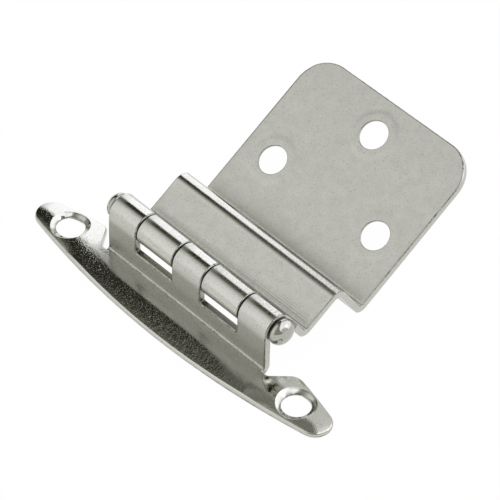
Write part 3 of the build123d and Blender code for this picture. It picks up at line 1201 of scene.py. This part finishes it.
@dataclass
class DoorLeaf(FoldedLeaf):
    """Two knuckles on tabs, a stub wall, a strip, a step and a screw plate with three holes."""

    open_deg: float = 32.2067
    fold_radius: float = 0.6
    stub: float = 3.1
    strip_reach: float = 11.95
    step: float = 9.6
    reach: float = 42.72
    far_corner: float = 6.0
    corner_steps: int = 14
    hole_radius: float = 2.625
    sink_radius: float = 3.5
    hole_spacing: float = 24.8
    hole_reach: float = 22.85
    hole_rise: float = 13.5
    edge: float = 0.2
    rolled_edge: float = 0.42
    corner: float = 0.22
    swells: Triple = (0.042, 0.026, 0.058)
    swell_reach: Pair = (3.6, 4.8)
    crest_radius: float = 2.3
    foot_bow: float = 0.42
    foot_reach: float = 1.9
    foot_sag: float = 0.3
    strip_bow: float = 0.15
    strip_curve: float = 1.5
    draw_depth: float = 0.01
    draw_pitch: float = 0.42
    draw_start: Pair = (0.35, 0.7)
    draw_end: Pair = (1.5, 2.4)
    draw_side: Pair = (-4.0, 12.0)
    # painted shade: a dark line on the edges' rounds, wider where the shears rolled the edge, and shade on
    # the knuckles' cut sides
    edge_line: Table = ((0.0, 0.01, 0.05, 0.14), (0.0, 0.75, 0.7, 0.0))
    cut_shade: Table = ((0.12, 0.2, 1.0, 1.2, 1.25), (0.0, 0.75, 0.9, 0.4, 0.05))
    sheared_shade: float = 1.2
    crest_peel: float = 0.35
    bend_grid: float = 0.6
    ring_radii: Triple = (2.95, 5.9, 0.25)
    ring_seeds: int = 60

    def __post_init__(self) -> None:
        """Lays out the section from the end of the rolls to the far edge, closed."""
        front = BARREL.plate_front - BARREL.axis_z
        outer = self.crest_radius
        sweep = math.radians(BARREL.sweep_deg)
        start = (BARREL.outside * math.cos(sweep), BARREL.outside * math.sin(sweep))
        runs = [
            bend(BARREL.outside, -BARREL.sweep_deg),
            Run(-front - self.fold_radius),
            bend(self.fold_radius, 90),
            Run(self.strip_reach - outer - BARREL.outside - self.fold_radius),
            bend(outer, -90),
            Run(self.step - outer - self.fold_radius),
            bend(self.fold_radius, 90),
            Run(self.reach - self.strip_reach - self.fold_radius),
        ]
        self.path = FoldPath(start, sweep - QUARTER, runs)
        _, self.roll_end, self.wall_end, self.strip_start, *rest = self.path.marks
        self.crest_start, self.crest_end, self.step_end, self.plate_start, self.far = rest
        self.stub_top = self.wall_end + self.fold_radius - self.stub
        self.worn_corner = Spot(BARREL.half - 1.5, self.far - 2.5, (4.0, 4.0), 0.8)

    def outline(self) -> Array:
        """Outer loop of the blank.

        Returns:
            The loop of x, s, anticlockwise.
        """
        half, top = BARREL.half, self.stub_top
        knuckle = BARREL.slot / 2 - BARREL.gap
        corners: list[Corner] = []
        for centre in (-BARREL.slot_centre, BARREL.slot_centre):
            left, right = centre - knuckle, centre + knuckle
            steps = ((left, top), (left, 0.0), (right, 0.0), (right, top))
            corners += [(x, s, self.corner) for x, s in steps]
        corners += [
            (half, top, self.corner),
            (half, self.far, self.far_corner),
            (-half, self.far, self.far_corner),
            (-half, top, self.corner),
        ]
        loop = round_corners(corners, self.corner_steps)
        return cut_at_levels(loop, self.path.levels(self.bend_step_deg), half)

    def holes(self) -> list[RoundHole]:
        """Pierces the screw plate.

        Returns:
            Three holes with countersinks on the hidden back.
        """
        sink, hole = self.sink_radius, self.hole_radius
        land = self.sheet - (sink - hole)
        profile = (
            (hole + 0.14, 0.0),
            (hole + 0.05, 0.02),
            (hole, 0.1),
            (hole, land - 0.02),
            (hole + 0.06, land + 0.05),
            (sink - 0.35, self.sheet - 0.35),
            (sink - 0.02, self.sheet - 0.04),
            (sink + 0.08, self.sheet),
        )
        low = self.far - self.reach + self.hole_reach
        half = self.hole_spacing / 2
        places = ((-half, low), (half, low), (0.0, low + self.hole_rise))
        return [RoundHole(x, s, profile) for x, s in places]

    def rim(self, loop: Array) -> tuple[Array, Array]:
        """A small round along the cut edge, wider where the shears rolled the screw plate's edge."""
        size = self.edge + (self.rolled_edge - self.edge) * self._sheared(*loop.T)
        return size, size

    def _sheared(self, x: Array, s: Array) -> Array:
        """Share of the shears' roll: whole along the screw plate's left side, less round its right corner."""
        left = ease(BARREL.half - 1.2, BARREL.half - 0.5, -x) * ease(0.2, 2.0, s - self.plate_start)
        return left + self.worn_corner.at(x, s)

    def relief(self, x: Array, s: Array) -> Array:
        """The bow of the sheet, a swell round each hole from the countersink behind it, and draw lines.

        Args:
            x, s: places on the blank.

        Returns:
            The height at each place.
        """
        rise = self.back_relief(x, s)
        for hole, swell in zip(self.holes(), self.swells):
            rise += swell * (1 - ease(*self.swell_reach, hole.away(np.column_stack([x, s]))))
        past = s - self.strip_start
        drawn = ease(*self.draw_start, past) * (1 - ease(*self.draw_end, past)) * ease(*self.draw_side, x)
        return rise + self.draw_depth * drawn * np.sin(past * 2 * math.pi / self.draw_pitch)

    def back_relief(self, x: Array, s: Array) -> Array:
        """Bow of the sheet next to the step's foot and next to the stub wall.

        Args:
            x, s: places on the blank.

        Returns:
            The height at each place.
        """
        past_foot = np.clip(s - self.plate_start, 0, None)
        past_stub = np.clip(s - self.strip_start, 0, None)
        foot = self.foot_bow * np.exp(-past_foot / self.foot_reach)
        foot *= 1 - self.foot_sag * (x / BARREL.half) ** 2
        stub = self.strip_bow * (np.clip(self.strip_curve - past_stub, 0, None) / self.strip_curve) ** 2
        foot *= ease(self.step_end, self.plate_start, s)
        return foot + stub * ease(self.wall_end, self.strip_start, s)

    def painted_shade(self, x: Array, s: Array, depth: Array) -> Array:
        """Painted shade on the knuckles' cut sides and a thin painted dark line along every other edge.

        Args:
            x, s, depth: places on the blank and through its sheet.

        Returns:
            The share of painted shade at each place.
        """
        # the painted dark line widens where the edge is rolled
        wide = 1 + self.sheared_shade * self._sheared(x, s)
        line = np.interp(-depth / wide, *self.edge_line)
        cut = np.interp(-depth, *self.cut_shade)
        on_knuckle = (s < self.wall_end + 0.2) & (np.abs(x) < BARREL.half - 0.4)
        return np.where(on_knuckle, np.maximum(line, cut), line)

    def peel(self, x: Array, s: Array) -> Array:
        """Strong peel on the knuckles and the crest of the step, little on the flat parts.

        Args:
            x, s: places on the blank.

        Returns:
            The share of peel at each place.
        """
        start = np.where(x < 0, -1, 1) * BARREL.slot_centre - BARREL.slot / 2
        rolled = BARREL.rolled_peel * BARREL.worn(x - start)
        rolled *= 1 - ease(self.roll_end - 1.0, self.roll_end, s)
        crest = self.crest_peel * ease(self.crest_start - 0.5, self.crest_start + 0.3, s)
        crest *= 1 - ease(self.crest_end, self.crest_end + 1.0, s)
        return np.clip(np.maximum(rolled, crest), self.least_peel, 1)

    def seeds(self) -> Array:
        """Rows across the bends and the flat runs, and rings round the holes.

        Returns:
            The points as an array of x, s.
        """
        strip, foot = self.strip_start, self.plate_start
        curve, flat, step, bow, plate, tabs = (
            lattice(BARREL.span, np.arange(first, last, s_step), x_step)
            for first, last, s_step, x_step in (
                (strip + 0.2, strip + 2.5, 0.1, 1.0),
                (strip + 2.8, self.crest_start - 0.3, 1.0, 1.2),
                (self.crest_end + 0.8, self.step_end - 0.3, 1.0, 1.2),
                (foot + 0.3, foot + 5.0, 0.4, 0.9),
                (foot + 5.4, self.far, 1.2, 1.2),
                (self.roll_end + 0.6, self.wall_end - 0.2, 0.8, 0.8),
            )
        )
        bends = lattice(BARREL.span, self.path.levels(self.bend_step_deg), self.bend_grid)
        around = np.linspace(0, 2 * math.pi, self.ring_seeds + 1)[:-1]
        ring = np.column_stack([np.cos(around), np.sin(around)])
        rings = []
        for hole in self.holes():
            plate = plate[hole.away(plate) > self.ring_radii[1]]
            rings += [radius * ring + (hole.x, hole.s) for radius in np.arange(*self.ring_radii)]
        return np.concatenate([bends, curve, flat, step, bow, plate, tabs] + rings)

    def fold(self, flat: Array, normal: Array) -> tuple[Array, Array]:
        """Bends the blank about the pin and opens it to the angle it rests at.

        Args:
            flat: x, s, depth of the blank's points.
            normal: their normals.

        Returns:
            The points and normals in the row frame.
        """
        point, tangent, front = self.path.at(flat[:, 1])
        section = point + front * flat[:, 2:3]
        facing = tangent * normal[:, 1:2] + front * normal[:, 2:3]
        angle = math.radians(self.open_deg)
        turn = np.array([[math.cos(angle), -math.sin(angle)], [math.sin(angle), math.cos(angle)]])
        placed = np.column_stack([flat[:, 0], section @ turn.T + (BARREL.axis_y, BARREL.axis_z)])
        turned = np.column_stack([normal[:, 0], facing @ turn.T])
        return placed, turned


@dataclass
class HingePin:
    """Pin with a round button at each end."""

    finish: PlatedFinish
    name: str = "turned_pin"
    shank: float = 1.47
    seat: float = 19.07
    near_radius: float = 2.4
    near_height: float = 2.45
    far_radius: float = 2.25
    far_height: float = 2.1
    foot_share: float = 0.3
    foot_radius: float = 1.8
    dome_steps: int = 24
    foot_steps: int = 8
    steps_around: int = 96
    smooth_deg: float = 40.0
    hair: float = 1e-6
    # painted shade round each button's foot, where it meets the knuckle
    near_shade: float = 0.85
    far_shade: float = 0.3
    shade_span: Pair = (0.3, 0.7)
    peel: float = 0.4

    def _button(self, radius: float, height: float, way: int) -> list[Pair]:
        """Half outline of a round button.

        Args:
            radius: radius of its waist.
            height: how far it stands out from its seat.
            way: 1 for the near end, -1 for the far end.

        Returns:
            Distances along the pin and radii, from the tip on the axis, over the waist, to the foot.
        """
        waist = height * self.foot_share
        points = []
        for k in range(self.dome_steps + 1):
            angle = QUARTER * k / self.dome_steps
            points.append((waist + (height - waist) * math.cos(angle), radius * math.sin(angle)))
        for k in range(1, self.foot_steps + 1):
            angle = QUARTER * k / self.foot_steps
            inset = (radius - self.foot_radius) * (1 - math.cos(angle))
            points.append((waist * (1 - math.sin(angle)), radius - inset))
        return [(way * (self.seat + along), across) for along, across in points]

    def outline(self) -> list[Pair]:
        """Half outline of the whole pin.

        Returns:
            Distances along the pin and radii, from the near tip to the far tip.
        """
        near = self._button(self.near_radius, self.near_height, 1)
        far = self._button(self.far_radius, self.far_height, -1)[::-1]
        return near + [(self.seat, self.shank), (-self.seat, self.shank)] + far

    def spin_tree(self) -> bpy.types.NodeTree:
        """Geometry node tree that turns a half outline about the pin's axis.

        Returns:
            The tree, with named inputs for the steps around, the axis' place and the material.
        """
        tree = bpy.data.node_groups.new("turn_about_axis", "GeometryNodeTree")
        sockets = (
            ("Geometry", "INPUT", "NodeSocketGeometry"),
            ("Steps Around", "INPUT", "NodeSocketInt"),
            ("Axis Place", "INPUT", "NodeSocketVector"),
            ("Material", "INPUT", "NodeSocketMaterial"),
            ("Geometry", "OUTPUT", "NodeSocketGeometry"),
        )
        for name, way, kind in sockets:
            tree.interface.new_socket(name, in_out=way, socket_type=kind)
        wire = Wiring(tree)
        given = wire.add("NodeGroupInput").outputs
        line = wire.add("GeometryNodeMeshToCurve", {"Mesh": given["Geometry"]}).outputs["Curve"]
        hoop = {"Resolution": given["Steps Around"], "Radius": self.hair}
        circle = wire.add("GeometryNodeCurvePrimitiveCircle", hoop).outputs["Curve"]
        swept = wire.add("GeometryNodeCurveToMesh", {"Curve": circle, "Profile Curve": line}).outputs["Mesh"]
        place = {"Translation": given["Axis Place"], "Rotation": (0.0, -QUARTER, 0.0)}
        moved = wire.add("GeometryNodeTransform", {"Geometry": swept, **place}).outputs["Geometry"]
        close = {"Geometry": moved, "Distance": 2 * self.hair}
        merged = wire.add("GeometryNodeMergeByDistance", close).outputs["Geometry"]
        outwards = wire.add("GeometryNodeFlipFaces", {"Mesh": merged}).outputs["Mesh"]
        angle = wire.add("GeometryNodeInputMeshEdgeAngle").outputs["Unsigned Angle"]
        gentle = wire.add("FunctionNodeCompare", {"A": angle, "B": math.radians(self.smooth_deg)})
        gentle.operation = "LESS_THAN"
        shade = {"Geometry": outwards, "Shade Smooth": gentle.outputs["Result"]}
        smooth = wire.add("GeometryNodeSetShadeSmooth", shade)
        smooth.domain = "EDGE"
        real = wire.add("GeometryNodeRealizeInstances", {"Geometry": smooth.outputs["Geometry"]})
        plate = {"Geometry": real.outputs["Geometry"], "Material": given["Material"]}
        plated = wire.add("GeometryNodeSetMaterial", plate).outputs["Geometry"]
        wire.add("NodeGroupOutput", {"Geometry": plated})
        return tree

    def _paint_foot_shade(self, mesh: bpy.types.Mesh) -> None:
        """Paints shade round the foot of both buttons, where they meet the knuckles.

        Args:
            mesh: the turned pin.
        """
        along = np.array([v.co.x / MM for v in mesh.vertices])
        foot = 1 - ease(*self.shade_span, np.abs(along) - self.seat)
        # painted shade, stronger at the near button
        paint(mesh, "painted_shade", np.where(along > 0, self.near_shade, self.far_shade) * foot)
        paint(mesh, "peel", np.full(len(along), self.peel))

    def dress(self, node: str) -> bpy.types.Object:
        """Turns the pin, gives it its finish and sets it in place of its solid.

        Args:
            node: name of the solid that the pin stands for.

        Returns:
            The finished piece.
        """
        half = bpy.data.meshes.new(self.name + "_outline")
        points = [(radius * MM, along * MM, 0.0) for along, radius in self.outline()]
        half.from_pydata(points, [(i, i + 1) for i in range(len(points) - 1)], [])
        piece = bpy.data.objects.new(self.name, half)
        bpy.context.scene.collection.objects.link(piece)
        turning = piece.modifiers.new("turning", "NODES")
        turning.node_group = self.spin_tree()
        values = {
            "Steps Around": self.steps_around,
            "Axis Place": (0.0, BARREL.axis_y * MM, BARREL.axis_z * MM),
            "Material": self.finish.build(),
        }
        for item in turning.node_group.interface.items_tree:
            if item.in_out == "INPUT" and item.name in values:
                turning[item.identifier] = values[item.name]
        graph = bpy.context.evaluated_depsgraph_get()
        turned = bpy.data.meshes.new_from_object(piece.evaluated_get(graph))
        piece.modifiers.remove(turning)
        piece.data = turned
        self._paint_foot_shade(turned)
        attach(piece, "frame")
        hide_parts(node)
        log.info("%s: %d points, %d faces", self.name, len(turned.vertices), len(turned.polygons))
        return piece


@dataclass(frozen=True)
class SoftBox:
    """A square studio lamp that looks at the hinge."""

    name: str
    place: Triple
    size: float
    radiance: float

    def build(self, target: Vector) -> bpy.types.Object:
        """Sets up the lamp.

        Args:
            target: point that the lamp faces.

        Returns:
            The lamp object.
        """
        lamp = bpy.data.lights.new(self.name, "AREA")
        lamp.shape = "RECTANGLE"
        lamp.size = lamp.size_y = self.size
        lamp.energy = self.radiance * math.pi * self.size * self.size
        holder = bpy.data.objects.new(self.name, lamp)
        holder.location = self.place
        holder.rotation_euler = (target - Vector(self.place)).to_track_quat("-Z", "Y").to_euler()
        bpy.context.scene.collection.objects.link(holder)
        return holder


@dataclass(frozen=True)
class Studio:
    """White floor, a long soft box behind the hinge, a pale tent before it with a dark gap between, a camera.

    The tent's light is set by the angle round the pin: 0 is behind the hinge, 90 above it, 180 before it.
    A span is where a light changes along the pin, from -1 at the left to 1 at the right, or round it.
    """

    floor_size: float = 4.0
    floor_tone: Triple = (0.85, 0.85, 0.85)
    floor_glow: float = 0.98
    tent_light: tuple[Pair, ...] = (
        (0.0, 0.032),
        (80.0, 0.032),
        (88.0, 0.15),
        (94.0, 0.4),
        (102.0, 0.68),
        (111.0, 0.91),
        (120.0, 1.07),
        (135.0, 1.12),
        (150.0, 1.2),
        (180.0, 1.2),
    )
    tent_right: float = 0.36
    tent_span: Pair = (-0.4, 0.3)
    left_light: float = 0.35
    left_span: Pair = (-0.88, -0.66)
    box_light: float = 1.75
    box_right: float = 0.2
    box_span: Pair = (-0.506, -0.484)
    box_edge: float = 60.0
    box_slant: float = 50.0
    box_pivot: float = 0.54
    box_blur: float = 6.0
    box_low: float = 0.6
    box_low_span: Pair = (-0.6, 0.0)
    end_light: float = 0.8
    end_span: Pair = (-0.25, 0.05)
    end_stop: Pair = (0.74, 0.86)
    ear_light: float = 0.15
    ear_span: Pair = (-0.455, -0.41)
    gap_fill: float = 0.3
    fill_span: Pair = (1.4, 1.65)
    fill_right: float = 0.75
    fill_right_span: Pair = (-0.455, -0.4)
    top_light: float = 1.95
    warmth: Stops = (
        (0.0, (0.0, 0.0, 0.0)),
        (0.06, (0.06, 0.06, 0.047)),
        (0.3, (0.3, 0.3, 0.285)),
        (0.6, (0.6, 0.6, 0.615)),
        (0.9, (0.9, 0.9, 0.98)),
        (1.0, (0.92, 0.92, 1.0)),
    )
    lens: float = 249.62
    sensor: float = 36.0
    camera_place: Triple = (295.851, -270.108, 406.747)
    camera_right: Triple = (0.681165, 0.731893, 0.018642)
    camera_up: Triple = (-0.520481, 0.466185, 0.715381)
    camera_back: Triple = (0.514892, -0.496995, 0.698485)
    lamp: SoftBox = SoftBox("right_box", (0.5, 0.42, 0.36), 0.2, 1.4)

    def floor(self) -> bpy.types.Object:
        """A pale floor that shows white to the camera and keeps a soft shadow.

        Returns:
            The floor.
        """
        half = self.floor_size / 2
        mesh = bpy.data.meshes.new("floor")
        corners = [(-half, -half, 0), (half, -half, 0), (half, half, 0), (-half, half, 0)]
        mesh.from_pydata(corners, [], [(0, 1, 2, 3)])
        floor = bpy.data.objects.new("floor", mesh)
        bpy.context.scene.collection.objects.link(floor)
        material = bpy.data.materials.new("pale_floor")
        material.use_nodes = True
        wire = Wiring(material.node_tree)
        wire.tree.nodes.clear()
        path = wire.add("ShaderNodeLightPath").outputs
        rays = (path[f"Is {kind} Ray"] for kind in ("Camera", "Glossy", "Transmission"))
        share = wire.math("MULTIPLY", wire.chain("MAXIMUM", *rays), self.floor_glow)
        paper = wire.add("ShaderNodeBsdfDiffuse", {"Color": (*self.floor_tone, 1.0)}).outputs[0]
        glow = wire.add("ShaderNodeEmission", {"Color": (*WHITE, 1.0)}).outputs[0]
        mix = wire.add("ShaderNodeMixShader", {"Fac": share, 1: paper, 2: glow})
        wire.add("ShaderNodeOutputMaterial", {"Surface": mix.outputs[0]})
        mesh.materials.append(material)
        return floor

    def tent(self) -> None:
        """Light from all round, long bands of it that run beside the pin."""
        world = bpy.data.worlds.new("tent")
        world.use_nodes = True
        wire = Wiring(world.node_tree)
        top = self.top_light

        def fade(value: Socket, span: Pair, first: float, last: float) -> Socket:
            """A smooth change from one number to another over a span of a value."""
            return wire.remap(value, span, (first, last), smooth=True)

        where = wire.add("ShaderNodeTexCoord").outputs["Generated"]
        x, y, z = wire.add("ShaderNodeSeparateXYZ", {0: where}).outputs
        angle = wire.math("ARCTAN2", z, y)
        turn = wire.math("MULTIPLY", angle, math.degrees(1) / 180)
        before = wire.ramp(turn, ((degrees / 180, (light / top,) * 3) for degrees, light in self.tent_light))
        pale = wire.math("MULTIPLY", before, fade(x, self.tent_span, 1.0, self.tent_right))
        slant = wire.math("MULTIPLY_ADD", x, -math.radians(self.box_slant), angle)
        edge = math.radians(self.box_edge + self.box_pivot * self.box_slant)
        blur = math.radians(self.box_blur)
        behind = fade(slant, (edge - blur, edge + blur), self.box_light / top, 0.0)
        end = fade(x, self.end_span, 0.0, self.end_light)
        end = wire.math("MULTIPLY", end, fade(x, self.end_stop, 1.0, 0.0))
        side = fade(x, self.box_span, 1.0, self.box_right)
        side = wire.chain("ADD", side, end, fade(x, self.ear_span, 0.0, self.ear_light))
        box = wire.chain("MULTIPLY", behind, side, fade(angle, self.box_low_span, self.box_low, 1.0))
        fill = wire.chain(
            "MULTIPLY",
            fade(x, self.box_span, 0.0, self.gap_fill / top),
            fade(angle, self.fill_span, 1.0, 0.0),
            fade(x, self.fill_right_span, 1.0, self.fill_right),
        )
        light = wire.chain("ADD", pale, box, fill)
        light = wire.math("MULTIPLY", light, fade(x, self.left_span, self.left_light, 1.0))
        wire.feed(wire.tree.nodes["Background"], {"Color": wire.ramp(light, self.warmth), "Strength": top})
        bpy.context.scene.world = world

    def camera(self) -> bpy.types.Object:
        """Sets up the camera.

        Returns:
            The camera at the photograph's angle.
        """
        lens = bpy.data.cameras.new("camera")
        lens.sensor_width = self.sensor
        lens.sensor_fit = "HORIZONTAL"
        lens.lens = self.lens
        lens.clip_start = 0.01
        holder = bpy.data.objects.new("camera", lens)
        axes = Matrix((self.camera_right, self.camera_up, self.camera_back)).transposed().to_4x4()
        holder.matrix_world = Matrix.Translation(Vector(self.camera_place) * MM) @ axes
        bpy.context.scene.collection.objects.link(holder)
        bpy.context.scene.camera = holder
        return holder

    def build(self) -> None:
        """Sets up the whole studio."""
        self.floor()
        self.tent()
        self.lamp.build((CAD_BOX[0] + CAD_BOX[1]) / 2)
        self.camera()
        bpy.context.scene.view_settings.view_transform = "Standard"


def main() -> None:
    """Builds the hinge piece by piece, then the studio round it, and notes the sizes."""
    logging.basicConfig(level=logging.INFO, format="%(name)s: %(message)s")
    boat = PlatedFinish("nickel_peel", Grain.PEEL, NICKEL, 0.07)
    satin = PlatedFinish("nickel_satin", Grain.SATIN, NICKEL, 0.13)
    # the pin takes the darkened nickel colour, which is painted shade
    bright = PlatedFinish("nickel_bright", Grain.DENTED, SHADED_NICKEL, 0.06)
    FrameLeaf("pressed_frame_leaf", "frame", "plated_frame_leaf", boat).dress("frame_leaf")
    DoorLeaf("pressed_door_leaf", "door", "plated_door_leaf", satin).dress("door_leaf")
    HingePin(bright).dress("hinge_pin")
    Studio().build()


if __name__ == "__main__":
    main()
